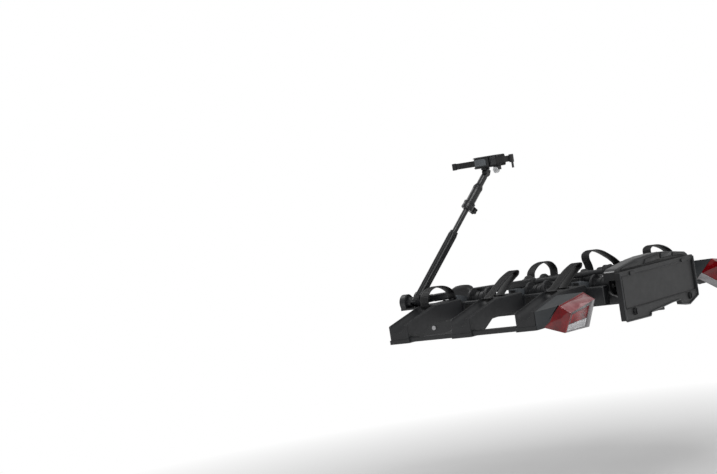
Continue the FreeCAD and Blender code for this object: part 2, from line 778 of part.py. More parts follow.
def holder_body():
    """Clamping body lying along local -Y over the yoke, with the saddle for the bicycle's tube at its end."""
    half = holder_width / 2
    front = holder_rear + holder_length
    top = holder_base + holder_height
    body = box(-half, half, holder_rear, front, holder_base, top)
    body = soften(body, 8.0, runs_along(1))
    saddle = rod(V(0, saddle_y, holder_base - 30), V(0, saddle_y, top + 5), holder_tube_radius)
    recess = box(-half - 1, -half + 10, holder_rear + 40, front + 1, holder_base + 6, top - 4)
    pin_hole = rod(V(lever_pin_x, lever_pin_y, holder_base + 1), V(lever_pin_x, lever_pin_y, top - 1), 2.0)
    foot = rod(V(0, 0, yoke_top), V(0, 0, holder_base + 4), yoke_disc_radius)
    lock_z = holder_base - lock_radius
    boss = rod(V(4, lock_y, lock_z), V(-half + 2, lock_y, lock_z), lock_radius)
    web = box(-half + 2, 4, lock_y - 10, lock_y + 10, lock_z, holder_base + 1)
    keeper = box(half, half + strap_thickness + 3, -14, 6, holder_base + 6, top - 6)
    passage = box(half, half + strap_thickness + fit_clearance, -15, 7, strap_base - fit_clearance,
                  strap_base + strap_width + fit_clearance)
    hole = rod(V(-4, lock_y, lock_z), V(-half - 3, lock_y, lock_z), lock_barrel_radius + fit_clearance)
    body = union(body, foot, boss, web, keeper.cut(passage))
    return body.cut(saddle).cut(recess).cut(pin_hole).cut(hole)


def holder_lever():
    """Pumping lever in the side of the holder, turning on its own pin."""
    half = holder_width / 2
    front = holder_rear + holder_length
    top = holder_base + holder_height
    pad = box(-half - 4, -half + 8.6, lever_pin_y - 4, front - 3, holder_base + 6.4, top - 4.4)
    pad = soften(pad, 3.0, runs_along(2))
    pin = rod(V(lever_pin_x, lever_pin_y, holder_base + 1), V(lever_pin_x, lever_pin_y, top - 1), 1.95)
    return union(pad, pin)


def key_lock():
    """Lock barrel with its key slot."""
    face = -holder_width / 2 - 1
    lock_z = holder_base - lock_radius
    barrel = rod(V(-4, lock_y, lock_z), V(face, lock_y, lock_z), lock_barrel_radius)
    return barrel.cut(box(face - 1, face + 4, lock_y - 0.8, lock_y + 0.8, lock_z - 3.5, lock_z + 3.5))


def holder_strap():
    """Strap along the holder's far side, round the bicycle's tube and back, with a capped tail."""
    inner = holder_width / 2
    outer = inner + strap_thickness
    front = holder_rear + holder_length
    top = strap_base + strap_width
    ring = rod(V(0, saddle_y, strap_base), V(0, saddle_y, top), outer)
    ring = ring.cut(rod(V(0, saddle_y, strap_base), V(0, saddle_y, top), inner))
    ring = ring.cut(box(-outer - 1, outer + 1, saddle_y, saddle_y + outer + 1, strap_base - 1, top + 1))
    tail = box(inner, outer, saddle_y, front + holder_tail, strap_base, top)
    for n in range(strap_teeth):
        y = front + 20 + n * 7
        tail = tail.cut(box(inner - 1, inner + 1, y, y + 3, strap_base + 3, top - 3))
    end = box(-outer, -inner, saddle_y, holder_rear + 16, strap_base, top)
    tip = front + holder_tail
    cap = box(inner - 1.5, outer + 1.5, tip - 14, tip + 2, strap_base - 1.5, top + 1.5)
    return union(ring, tail, end, soften(cap, 2.0, runs_along(0)))


def yoke(origin, lean_turn, holder_turn):
    """Knuckle with two cheeks round the head's eye, its cross pin and the disc that the holder turns on."""
    near = head_eye_width / 2 + 0.3
    far = near + yoke_cheek
    reach = head_eye_radius
    cheeks = box(-far, far, -reach, reach, 0, yoke_top - 3).fuse(rod(V(-far, 0, 0), V(far, 0, 0), reach))
    cheeks = placed(cheeks, FreeCAD.Placement(origin, lean_turn))
    turned_place = FreeCAD.Placement(origin, holder_turn)
    disc = placed(rod(V(0, 0, yoke_top - 5), V(0, 0, yoke_top), yoke_disc_radius), turned_place)
    over = placed(box(-40, 40, -40, 40, yoke_top, yoke_top + 40), turned_place)
    gap = rod(V(-near, 0, 0), V(near, 0, 0), reach + 0.4)
    gap = gap.fuse(box(-near, near, -reach - 6, reach + 20, -40, 0))
    gap = gap.fuse(box(-near, near, 0, reach + 20, -40, reach + 0.4))
    gap = placed(gap, FreeCAD.Placement(origin, lean_turn))
    pin = placed(rod(V(-far, 0, 0), V(far, 0, 0), yoke_pin_radius), FreeCAD.Placement(origin, lean_turn))
    return union(cheeks.fuse(disc).cut(over).cut(gap), pin)


# Raised arm with its frame holder
raised = arm_frame(-1, raised_lean, raised_rake)
save("arm_base", arm_base())
save("raised_arm_swivel", swivel(-1, raised_lean))
save("raised_arm_pin", arm_pin(-1, raised_lean))
save("raised_arm_lower_tube", lower_tube(raised_lower_end, raised))
save("raised_arm_inner_tube", inner_tube(raised_inner_start, raised_sleeve_end - 5, raised))
save("raised_arm_sleeve", sleeve(raised_sleeve_start, raised_sleeve_end, raised_head_end, raised))
save("raised_arm_knob", knob(raised_sleeve_start, raised))
raised_tip = raised.multVec(V(0, 0, raised_head_end))
level = FreeCAD.Placement(raised_tip, FreeCAD.Rotation())
save("holder_yoke", yoke(raised_tip, arm_frame(-1, raised_lean, 0).Rotation, level.Rotation))
save("holder_body", placed(holder_body(), level))
save("holder_pump_lever", placed(holder_lever(), level))
save("holder_key_lock", placed(key_lock(), level))
save("holder_strap", placed(holder_strap(), level))

# Stowed arm, lying along the deck
stowed = arm_frame(1, 0.0, 90.0 - stowed_climb)
turned = stowed.multiply(FreeCAD.Placement(V(0, 0, 0), FreeCAD.Rotation(V(0, 0, 1), -90)))
save("stowed_arm_swivel", swivel(1, 0.0))
save("stowed_arm_pin", arm_pin(1, 0.0))
save("stowed_arm_lower_tube", lower_tube(stowed_lower_end, stowed))
save("stowed_arm_inner_tube", inner_tube(stowed_inner_start, stowed_sleeve_end - 5, stowed))
save("stowed_arm_sleeve", sleeve(stowed_sleeve_start, stowed_sleeve_end, stowed_head_end, turned))
save("stowed_arm_knob", knob(stowed_sleeve_start, turned))

stowed_tip = stowed.multVec(V(0, 0, stowed_head_end))
tip_turn = FreeCAD.Rotation(turned.Rotation.multVec(V(1, 0, 0)), turned.Rotation.multVec(V(0, 0, -1)),
                            turned.Rotation.multVec(V(0, 1, 0)), "ZXY")
along = FreeCAD.Placement(stowed_tip, tip_turn)
save("stowed_holder_yoke", yoke(stowed_tip, along.Rotation, along.Rotation))
save("stowed_holder_body", placed(holder_body(), along))
save("stowed_holder_pump_lever", placed(holder_lever(), along))

# Centre of the carrier
save("coupling_housing", housing())
save("coupling_ball_cup", ball_cup())
save("coupling_lever", coupling_lever())
tilt_reach = housing_half_width + cheek_thickness + 5
save("tilt_pin", rod(V(-tilt_reach, tilt_y, tilt_z), V(tilt_reach, tilt_y, tilt_z), tilt_pin_radius))
save("centre_beam", centre_beam())
save("hinge_brackets", *[s for y in hinge_station_y for s in hinge_bracket(y)])


def panel_support():
    """Block that closes the beam's rear end and carries the panel."""
    block = box(-70, 70, panel_face_y + panel_thickness, beam_rear_y, beam_bottom_z, beam_top_z + 20)
    block = soften(block, 6.0, runs_along(1))
    ears = [box(x - 5, x + 5, pedal_y - 12, pedal_y + 12, pedal_z - 10, beam_bottom_z) for x in (-52, 52)]
    hole = rod(V(-70, pedal_y, pedal_z), V(70, pedal_y, pedal_z), pedal_pin_radius + press_clearance)
    return union(block, *ears).cut(hole)


def foot_pedal():
    """Ribbed pedal under the panel that frees the tilting deck."""
    tip = panel_face_y + panel_thickness + 3
    outline = [(pedal_y + 9, pedal_z - 6), (pedal_y + 9, pedal_z + 6), (tip, pedal_z + 3), (tip, pedal_z - 6)]
    pedal = prism_yz(outline, -pedal_half_width, pedal_half_width)
    for n in range(3):
        y = tip + 4 + 5 * n
        pedal = pedal.cut(box(-38, 38, y, y + 2, pedal_z + 1, pedal_z + 10))
    pin = rod(V(-57, pedal_y, pedal_z), V(57, pedal_y, pedal_z), pedal_pin_radius - fit_clearance)
    return union(pedal, pin)


def plate_panel():
    """Number plate panel with its rimmed recess and the cut-out above the foot pedal."""
    w = panel_half_width
    low = panel_bottom_z
    outline = [(-w, low + 5), (-w, panel_top_z), (w, panel_top_z), (w, low + 22), (w - 70, low - 2),
               (133, low + 8), (129, low + 22), (75, low + 21), (-8, low + 15), (-88, low + 9), (-92, low - 3)]
    panel = prism_xz(outline, panel_face_y, panel_face_y + panel_thickness)
    panel = soften(panel, 5.0, lambda e: runs_along(1)(e) and abs(e.Vertexes[0].Point.x) > 180)
    recess = [(-w + 18, low + 42), (-w + 18, panel_top_z - 18), (w - 8, panel_top_z - 18), (w - 8, low + 44)]
    panel = panel.cut(prism_xz(recess, panel_face_y - 1, panel_face_y + panel_recess))
    rear = panel_face_y + panel_thickness
    for n in range(panel_pockets):
        width = (2 * w - 24) / panel_pockets
        x = -w + 12 + n * width
        panel = panel.cut(box(x + 3, x + width - 3, panel_face_y + panel_recess + panel_wall, rear + 1,
                              low + 46, panel_top_z - 30))
    return panel


def rear_cover():
    """Raised cover along the top of the panel, higher in the middle."""
    w = panel_half_width - 4
    base = panel_top_z
    half = [(w, base - 24), (w, base + 2), (w - 14, base + 12), (110, base + 29), (50, base + 33)]
    outline = half + [(-x, z) for x, z in half[::-1]]
    front = panel_face_y + panel_thickness + cover_depth
    cover = prism_xz(outline, panel_face_y + panel_thickness, front)
    cover = soften(cover, 7.0, lambda e: e.BoundBox.ZMin > base + 1 and e.Length > 80)
    inside = inset(outline, [4.0] * (len(outline) - 1) + [-6.0])
    cover = cover.cut(prism_xz(inside, panel_face_y + panel_thickness + 3, front - 3))
    pad = prism_xz([(58, base + 12), (66, base + 30), (142, base + 26), (134, base + 10)],
                   panel_face_y + panel_thickness - 2, panel_face_y + panel_thickness)
    return cover.fuse(pad).removeSplitter()


def plate_clips():
    """Two hooked clips at the top of the recess and two turning knobs at its foot."""
    clips = []
    for x in clip_x:
        top = box(x - 16, x + 16, panel_face_y - 4, panel_face_y, panel_top_z - 17.5, panel_top_z - 6)
        clips.append(soften(top, 2.0, runs_along(1)))
    for x in (clip_x[0] - 15, clip_x[1] + 15):
        seat = V(x, panel_face_y, panel_bottom_z + 28)
        foot = rod(seat, seat - V(0, 5, 0), 12)
        bar = box(x - 3, x + 3, panel_face_y - 8, panel_face_y - 4, seat.z - 10, seat.z + 10)
        clips.append(foot.fuse(bar))
    return clips


save("number_plate_panel", plate_panel())
save("rear_cover", rear_cover())
save("plate_clips", *plate_clips())
save("panel_support", panel_support())
save("foot_pedal", foot_pedal())
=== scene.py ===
import json
import math

import bmesh
import bpy
from mathutils import Matrix, Vector


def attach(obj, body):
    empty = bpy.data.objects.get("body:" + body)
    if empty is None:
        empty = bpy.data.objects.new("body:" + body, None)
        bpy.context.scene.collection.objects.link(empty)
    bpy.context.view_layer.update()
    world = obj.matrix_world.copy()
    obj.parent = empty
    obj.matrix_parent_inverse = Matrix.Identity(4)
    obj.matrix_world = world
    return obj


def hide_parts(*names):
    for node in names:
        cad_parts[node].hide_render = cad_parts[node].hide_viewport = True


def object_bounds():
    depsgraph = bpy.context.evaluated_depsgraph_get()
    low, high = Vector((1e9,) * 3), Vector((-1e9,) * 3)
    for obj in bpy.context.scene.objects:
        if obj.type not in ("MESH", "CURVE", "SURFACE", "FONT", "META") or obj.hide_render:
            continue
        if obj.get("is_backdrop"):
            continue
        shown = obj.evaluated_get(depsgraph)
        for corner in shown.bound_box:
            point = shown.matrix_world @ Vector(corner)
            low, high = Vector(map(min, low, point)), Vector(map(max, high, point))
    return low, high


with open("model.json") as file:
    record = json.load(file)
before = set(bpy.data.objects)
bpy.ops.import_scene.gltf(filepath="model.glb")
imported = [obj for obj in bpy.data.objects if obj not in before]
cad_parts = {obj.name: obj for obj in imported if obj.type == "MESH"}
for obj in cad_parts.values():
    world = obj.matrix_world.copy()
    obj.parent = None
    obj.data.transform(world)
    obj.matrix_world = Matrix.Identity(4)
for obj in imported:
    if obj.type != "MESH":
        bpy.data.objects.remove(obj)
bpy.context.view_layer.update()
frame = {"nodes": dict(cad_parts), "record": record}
scene = bpy.context.scene
nodes = frame["nodes"]
MM = 0.001


# Camera at the photograph's viewing angle. Angles in degrees, place in metres, focal length and width in pixels
VIEW_YAW, VIEW_PITCH, VIEW_ROLL = 36.22, 1.14, 8.83
VIEW_PLACE = (-5.937, -4.092, 0.509)
VIEW_FOCAL, PICTURE_WIDTH, SENSOR_WIDTH = 1994.0, 717.0, 36.0


def set_camera():
    yaw, pitch, roll = math.radians(VIEW_YAW), math.radians(VIEW_PITCH), math.radians(VIEW_ROLL)
    forward = Vector((math.cos(yaw) * math.cos(pitch), math.sin(yaw) * math.cos(pitch), -math.sin(pitch)))
    right = forward.cross(Vector((0, 0, 1))).normalized()
    down = forward.cross(right).normalized()
    right, down = (right * math.cos(roll) + down * math.sin(roll), down * math.cos(roll) - right * math.sin(roll))
    data = bpy.data.cameras.new("camera")
    data.sensor_width = SENSOR_WIDTH
    data.lens = VIEW_FOCAL * SENSOR_WIDTH / PICTURE_WIDTH
    data.clip_end = 100.0
    camera = bpy.data.objects.new("camera", data)
    scene.collection.objects.link(camera)
    turn = Matrix((right, -down, -forward)).transposed()
    camera.matrix_world = Matrix.Translation(Vector(VIEW_PLACE)) @ turn.to_4x4()
    scene.camera = camera


set_camera()


# Materials
class Nodes:
    """Small helper that adds nodes to a material and joins them."""

    def __init__(self, name):
        self.mat = bpy.data.materials.new(name)
        self.mat.use_nodes = True
        self.tree = self.mat.node_tree
        self.shader = self.tree.nodes["Principled BSDF"]
        self.place = self.add("ShaderNodeTexCoord").outputs["Object"]

    def add(self, kind, **values):
        node = self.tree.nodes.new(kind)
        for key, value in values.items():
            setattr(node, key, value)
        return node

    def join(self, source, target):
        self.tree.links.new(source, target)

    def noise(self, scale, detail=3.0, stretch=(1, 1, 1)):
        mapping = self.add("ShaderNodeMapping")
        mapping.inputs["Scale"].default_value = stretch
        self.join(self.place, mapping.inputs["Vector"])
        noise = self.add("ShaderNodeTexNoise")
        noise.inputs["Scale"].default_value = scale
        noise.inputs["Detail"].default_value = detail
        self.join(mapping.outputs["Vector"], noise.inputs["Vector"])
        return noise.outputs["Fac"]

    def wave(self, scale, direction):
        wave = self.add("ShaderNodeTexWave")
        wave.wave_type = "BANDS"
        wave.bands_direction = direction
        wave.wave_profile = "SIN"
        wave.inputs["Scale"].default_value = scale
        wave.inputs["Distortion"].default_value = 0.0
        self.join(self.place, wave.inputs["Vector"])
        return wave.outputs["Fac"]

    def ramp(self, source, low, high, start=0.3, end=0.7):
        ramp = self.add("ShaderNodeValToRGB")
        ramp.color_ramp.elements[0].position = start
        ramp.color_ramp.elements[1].position = end
        ramp.color_ramp.elements[0].color = (*low, 1)
        ramp.color_ramp.elements[1].color = (*high, 1)
        self.join(source, ramp.inputs["Fac"])
        return ramp.outputs["Color"]

    def spread(self, source, low, high):
        span = self.add("ShaderNodeMapRange")
        span.inputs["To Min"].default_value = low
        span.inputs["To Max"].default_value = high
        self.join(source, span.inputs["Value"])
        return span.outputs["Result"]

    def bump(self, height, strength, distance, under=None):
        bump = self.add("ShaderNodeBump")
        bump.inputs["Strength"].default_value = strength
        bump.inputs["Distance"].default_value = distance
        self.join(height, bump.inputs["Height"])
        if under is not None:
            self.join(under, bump.inputs["Normal"])
        return bump.outputs["Normal"]


def surface(name, dark, light, rough, grain, depth, metallic=0.0, coat=0.0, patch=14.0, stretch=(1, 1, 1)):
    """Finish with fine grain, uneven gloss and slow changes of tone."""
    m = Nodes(name)
    tone = m.ramp(m.noise(patch, 4.0), dark, light)
    m.join(tone, m.shader.inputs["Base Color"])
    m.join(m.spread(m.noise(patch * 3.1, 5.0), rough[0], rough[1]), m.shader.inputs["Roughness"])
    fine = m.bump(m.noise(grain, 2.0, stretch), 0.5, depth)
    m.join(fine, m.shader.inputs["Normal"])
    m.shader.inputs["Metallic"].default_value = metallic
    m.shader.inputs["Coat Weight"].default_value = coat
    m.shader.inputs["Coat Roughness"].default_value = 0.25
    return m.mat


finish = {
    "black_casting": surface("black_casting", (0.010, 0.0105, 0.012), (0.019, 0.020, 0.022), (0.36, 0.50),
                             900, 0.00012, coat=0.12),
    "bright_steel": surface("bright_steel", (0.36, 0.36, 0.37), (0.50, 0.50, 0.51), (0.24, 0.40),
                            700, 0.00005, metallic=1.0, stretch=(1, 1, 8)),
    "black_tube": surface("black_tube", (0.011, 0.0115, 0.013), (0.019, 0.020, 0.022), (0.28, 0.42),
                          1200, 0.00005, coat=0.15),
    "black_plastic": surface("black_plastic", (0.0085, 0.009, 0.010), (0.015, 0.0155, 0.017), (0.40, 0.56),
                             1500, 0.0001),
    "tray_plastic": surface("tray_plastic", (0.011, 0.0115, 0.013), (0.019, 0.020, 0.022), (0.42, 0.58),
                            1300, 0.00014),
    "slate_plastic": surface("slate_plastic", (0.022, 0.025, 0.028), (0.034, 0.038, 0.042), (0.40, 0.54),
                             1300, 0.00012),
    "lever_plastic": surface("lever_plastic", (0.085, 0.094, 0.104), (0.120, 0.131, 0.142), (0.34, 0.48),
                             1500, 0.00006),
    "strap_rubber": surface("strap_rubber", (0.007, 0.007, 0.0075), (0.012, 0.012, 0.013), (0.46, 0.62),
                            1800, 0.00012),
    "chrome": surface("chrome", (0.66, 0.67, 0.68), (0.78, 0.79, 0.80), (0.08, 0.18),
                      500, 0.00001, metallic=1.0),
}


def lens(name, dark, light, see_through, rib, depth=0.0005, gloss=0.6):
    """Moulded lens: clear gloss over fine optical ribs."""
    m = Nodes(name)
    ribs = m.wave(rib, "X")
    rows = m.wave(rib * 0.8, "Z")
    tone = m.ramp(m.noise(30, 3.0), dark, light, 0.35, 0.65)
    m.join(tone, m.shader.inputs["Base Color"])
    m.join(m.spread(m.noise(60, 3.0), 0.05, 0.14), m.shader.inputs["Roughness"])
    m.join(m.bump(rows, 0.35, depth * 0.8, m.bump(ribs, 0.5, depth)), m.shader.inputs["Normal"])
    m.shader.inputs["Transmission Weight"].default_value = see_through
    m.shader.inputs["IOR"].default_value = 1.49
    m.shader.inputs["Coat Weight"].default_value = gloss
    m.shader.inputs["Coat Roughness"].default_value = 0.05
    return m.mat


finish["red_lens"] = lens("red_lens", (0.15, 0.001, 0.004), (0.32, 0.003, 0.008), 0.0, 60.0, gloss=0.10)
finish["clear_lens"] = lens("clear_lens", (0.60, 0.60, 0.62), (0.86, 0.86, 0.88), 0.15, 120.0)
wrap_red = lens("wrap_red", (0.11, 0.0, 0.002), (0.21, 0.001, 0.004), 0.05, 26.0, depth=0.0002, gloss=0.12)
band_pink = lens("band_pink", (0.30, 0.085, 0.095), (0.46, 0.20, 0.21), 0.12, 18.0, depth=0.00012)
frame_grey = surface("frame_grey", (0.10, 0.09, 0.095), (0.15, 0.14, 0.145), (0.20, 0.34), 900, 0.00004, coat=0.3)
tread_grey = surface("tread_grey", (0.22, 0.21, 0.22), (0.32, 0.31, 0.32), (0.16, 0.30), 800, 0.00003, coat=0.4)
# Near-black finish for the plates in the beam hollows: painted shade standing in for their depth
hollow_painted_shade = surface("hollow_painted_shade", (0.0012, 0.0012, 0.0014), (0.003, 0.003, 0.0033), (0.6, 0.75), 1500, 0.0001)
# Lighter finish for raised edges and ribs: a painted highlight along them
edge_painted_highlight = surface("edge_painted_highlight", (0.026, 0.027, 0.029), (0.040, 0.042, 0.045), (0.30, 0.44),
                      1100, 0.00008, coat=0.15)
# Lighter finish for the cover's crown: a painted highlight along its top band
crown_painted_highlight = surface("crown_painted_highlight", (0.022, 0.023, 0.025), (0.036, 0.037, 0.040), (0.26, 0.38),
                   1000, 0.00008, coat=0.5)

for part in frame["record"]["subparts"]:
    mesh = nodes[part["node"]].data
    mesh.materials.clear()
    mesh.materials.append(finish[part["material_slot"]])


# Building blocks for the detail pieces. Sizes in millimetres, as in the frame's source
def skin(bm, one, two):
    """Closed row of four-sided faces between two loops."""
    for n in range(len(one)):
        m = (n + 1) % len(one)
        bm.faces.new((one[n], one[m], two[m], two[n]))


def loft(bm, loops):
    """Rows of faces through all loops, with both ends closed."""
    for one, two in zip(loops, loops[1:]):
        skin(bm, one, two)
    bm.faces.new(loops[0][::-1])
    bm.faces.new(loops[-1])


def tube_of(bm, loops):
    """Four loops joined in turn into a closed ring."""
    for a in range(4):
        skin(bm, loops[a], loops[(a + 1) % 4])


def cylinder(bm, start, end, radius, top=None, segments=32):
    """Round, tapered or many-sided bar between two points."""
    start, end = Vector(start), Vector(end)
    along = end - start
    turn = along.to_track_quat("Z", "Y").to_matrix().to_4x4()
    place = Matrix.Translation((start + end) / 2) @ turn
    bmesh.ops.create_cone(bm, cap_ends=True, segments=segments, radius1=radius,
                          radius2=radius if top is None else top, depth=along.length, matrix=place)


def ring(bm, start, end, inner, outer, segments=48):
    """Flat ring between two points on its axis."""
    start, end = Vector(start), Vector(end)
    turn = (end - start).to_track_quat("Z", "Y").to_matrix()
    loops = []
    for centre, radius in ((start, inner), (start, outer), (end, outer), (end, inner)):
        loop = []
        for n in range(segments):
            angle = 2 * math.pi * n / segments
            spoke = Vector((radius * math.cos(angle), radius * math.sin(angle), 0))
            loop.append(bm.verts.new(centre + turn @ spoke))
        loops.append(loop)
    tube_of(bm, loops)


def block(bm, x, y, z, place=None):
    """Box over three ranges."""
    centre = Vector(((x[0] + x[1]) / 2, (y[0] + y[1]) / 2, (z[0] + z[1]) / 2))
    size = Matrix.Diagonal((abs(x[1] - x[0]), abs(y[1] - y[0]), abs(z[1] - z[0]), 1))
    bmesh.ops.create_cube(bm, size=1.0, matrix=(place or Matrix()) @ Matrix.Translation(centre) @ size)


def plate(bm, outline, travel):
    """Outline of 3D points pushed along a vector."""
    face = bm.faces.new([bm.verts.new(Vector(point)) for point in outline])
    moved = bmesh.ops.extrude_face_region(bm, geom=[face])["geom"]
    bmesh.ops.translate(bm, vec=Vector(travel), verts=[v for v in moved if isinstance(v, bmesh.types.BMVert)])


def hex_bolt(bm, seat, normal, radius, height):
    """Hexagon head with its flange, standing on a seat."""
    seat, normal = Vector(seat), Vector(normal).normalized()
    cylinder(bm, seat - normal * 0.6, seat + normal * 1.2, radius * 1.3, radius * 1.2)
    cylinder(bm, seat + normal * 1.0, seat + normal * height, radius, radius * 0.94, segments=6)


def finish_piece(name, bm, body, slot, bevel=0.5, segments=2, smooth=35.0, look=None, place=None):
    """Turns the working mesh into an object with its finish, on its body."""
    if place is not None:
        bmesh.ops.transform(bm, matrix=place, verts=bm.verts)
    bmesh.ops.recalc_face_normals(bm, faces=bm.faces)
    bmesh.ops.scale(bm, vec=(MM, MM, MM), verts=bm.verts)
    mesh = bpy.data.meshes.new(name)
    bm.to_mesh(mesh)
    bm.free()
    piece = bpy.data.objects.new(name, mesh)
    scene.collection.objects.link(piece)
    mesh.materials.append(look or finish[slot])
    mesh.polygons.foreach_set("use_smooth", [True] * len(mesh.polygons))
    if bevel:
        mod = piece.modifiers.new("bevel", "BEVEL")
        mod.width = bevel * MM
        mod.segments = segments
        mod.limit_method = "ANGLE"
        mod.angle_limit = math.radians(30)
        mod.harden_normals = True
    view = piece.evaluated_get(bpy.context.evaluated_depsgraph_get())
    baked = bpy.data.meshes.new_from_object(view)
    piece.modifiers.clear()
    piece.data = baked
    baked.set_sharp_from_angle(angle=math.radians(smooth))
    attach(piece, body)
    return piece


# Wheel straps: ribbed rubber bands in place of the frame's plain ones. A way lists x and the height over the crest
TRAYS = (-290.0, -535.0, -780.0)
CREST = 112.0
STRAP_WIDTH = 32.0
STRAP_THICKNESS = 4.5
LOOP = ((-426, -1), (-384, 17), (-344, 36), (-305, 53), (-266, 65), (-246, 69), (-230, 66), (-233, 57),
        (-258, 46), (-292, 31), (-324, 14), (-350, -1))
LOW = ((-430, -6), (-431, 22), (-408, 44), (-375, 53), (-336, 52), (-300, 43), (-270, 24), (-266, 10),
       (-262.6, 0))
ARCH = ((-484, -34), (-483, -14), (-474, 8), (-448, 27), (-405, 48), (-355, 68), (-310, 77), (-275, 76),
        (-253, 66), (-252, 50), (-263, 30), (-268, 10), (-262.6, 0))
WIDE = ((-427, -8), (-427, 12), (-418, 29), (-394, 45), (-352, 60), (-308, 68), (-276, 68), (-256, 60),
        (-254, 46), (-262, 28), (-268, 10), (-262.6, 0))
WAYS = {"left": (LOW, LOOP, LOOP), "right": (LOW, ARCH, WIDE)}


def smooth_line(points, step=3.0):
    """Even points along a smooth line through the given ones, by chord-length Catmull-Rom."""
    pts = [Vector((x, 0, z)) for x, z in points]
    pts = [pts[0] * 2 - pts[1]] + pts + [pts[-1] * 2 - pts[-2]]
    line = []
    for a, b, c, d in zip(pts, pts[1:], pts[2:], pts[3:]):
        knots = [0.0]
        for p, q in ((a, b), (b, c), (c, d)):
            knots.append(knots[-1] + (q - p).length ** 0.5)
        t0, t1, t2, t3 = knots
        count = max(2, int((c - b).length / step))
        for n in range(count):
            t = t1 + (t2 - t1) * n / count
            a1 = a * ((t1 - t) / (t1 - t0)) + b * ((t - t0) / (t1 - t0))
            a2 = b * ((t2 - t) / (t2 - t1)) + c * ((t - t1) / (t2 - t1))
            a3 = c * ((t3 - t) / (t3 - t2)) + d * ((t - t2) / (t3 - t2))
            b1 = a1 * ((t2 - t) / (t2 - t0)) + a2 * ((t - t0) / (t2 - t0))
            b2 = a2 * ((t3 - t) / (t3 - t1)) + a3 * ((t - t1) / (t3 - t1))
            line.append(b1 * ((t2 - t) / (t2 - t1)) + b2 * ((t - t1) / (t2 - t1)))
    line.append(pts[-2])
    return line


def band(bm, line, y, width, thick, teeth):
    """Strap with thin edges, a thicker middle and cross teeth on its outer side."""
    half = width / 2
    section = ((-half, -0.32), (-half + 2.5, -0.5), (half - 2.5, -0.5), (half, -0.32), (half, 0.32),
               (half - 2.5, 0.5), (half - 6, 0.36), (-half + 6, 0.36), (-half + 2.5, 0.5), (-half, 0.32))
    rings, sides = [], []
    for n, point in enumerate(line):
        ahead = line[min(n + 1, len(line) - 1)] - line[max(n - 1, 0)]
        ahead.normalize()
        side = Vector((-ahead.z, 0, ahead.x))
        sides.append((point, ahead, side))
        rings.append([bm.verts.new(point + Vector((0, y + across, 0)) + side * (rise * thick))
                      for across, rise in section])
    loft(bm, rings)
    for point, ahead, side in sides[teeth[0]:teeth[1]:2]:
        turn = Matrix((ahead, Vector((0, 1, 0)), side)).transposed().to_4x4()
        place = Matrix.Translation(point + Vector((0, y, 0))) @ turn
        block(bm, (-0.9, 0.9), (-half + 5.5, half - 5.5), (thick * 0.3, thick * 0.5), place)


for side, sign in (("left", 1), ("right", -1)):
    bm = bmesh.new()
    for n, y in enumerate(TRAYS):
        line = smooth_line([(x * sign, CREST + STRAP_THICKNESS / 2 + z) for x, z in WAYS[side][n]])
        band(bm, line if side == "left" else line[::-1], y, STRAP_WIDTH, STRAP_THICKNESS, (4, len(line) - 4))
    strap = finish_piece(side + "_ribbed_straps", bm, side + "_wing", "strap_rubber", bevel=0.35)
    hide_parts(side + "_wheel_straps")


# Trays: a raised lip round each trough, keepers at the feet of the straps
TRAY_END_X, TRAY_LOW, RAMP_LENGTH = 610.0, 70.0, 180.0
LIP_START_X, LIP_STEP, LIP_STEPS, TROUGH_ROUND_X = 606.0, 8.2, 20, 442.0


def tray_top(x):
    """Height of a tray's top, which falls along its outer ramp."""
    return TRAY_LOW + (CREST - TRAY_LOW) * min((TRAY_END_X - x) / RAMP_LENGTH, 1.0)


def lip(bm, y, sign, radius=30.2, wide=1.1, rise=1.3):
    """Thin lip along both sides of a trough and round its inner end."""
    straight = [LIP_START_X - LIP_STEP * n for n in range(LIP_STEPS)]
    path = [(x, radius) for x in straight]
    for degrees in range(0, 181, 9):
        a = math.radians(degrees)
        path.append((TROUGH_ROUND_X - radius * math.sin(a), radius * math.cos(a)))
    path += [(x, -radius) for x in straight[::-1]]
    rings = []
    for n, (x, dy) in enumerate(path):
        before, after = path[max(n - 1, 0)], path[min(n + 1, len(path) - 1)]
        ahead = Vector((after[0] - before[0], after[1] - before[1])).normalized()
        side = Vector((-ahead.y, ahead.x)) * wide
        z = tray_top(x)
        rings.append([bm.verts.new(((x + side.x * a) * sign, y + dy + side.y * a, z + h))
                      for a, h in ((-1, -0.6), (1, -0.6), (0.7, rise), (-0.7, rise))])
    loft(bm, rings)


for side, sign in (("left", -1), ("right", 1)):
    bm = bmesh.new()
    for y in TRAYS:
        lip(bm, y, sign)
    finish_piece(side + "_trough_lips", bm, side + "_wing", "tray_plastic", bevel=0.0, smooth=50.0)
    bm = bmesh.new()
    for n, y in enumerate(TRAYS):
        feet = (426.0, 348.0) if side == "left" and n else (290.0,)
        for x in feet:
            for end in (-1, 1):
                block(bm, (sign * (x - 5), sign * (x + 5)), (y + end * 15.6, y + end * 19.4),
                      (CREST - 0.6, CREST + 5.4))
            block(bm, (sign * (x - 6.5), sign * (x - 3.6)), (y - 19.4, y + 19.4), (CREST - 0.6, CREST + 2.6))
    finish_piece(side + "_strap_keepers", bm, side + "_wing", "black_plastic", bevel=0.7)


# Wing beams: framed hollows between the trays, each shown by a near-black plate inside its frame as painted shade
# for its depth
def rounded(half_y, half_z, radius, steps=6):
    """Points of a rectangle with rounded corners, round its centre."""
    loop = []
    for quarter, (sy, sz) in enumerate(((1, 1), (-1, 1), (-1, -1), (1, -1))):
        for n in range(steps + 1):
            a = math.radians(90 * quarter + 90 * n / steps)
            loop.append((sy * (half_y - radius) + radius * math.cos(a),
                         sz * (half_z - radius) + radius * math.sin(a)))
    return loop


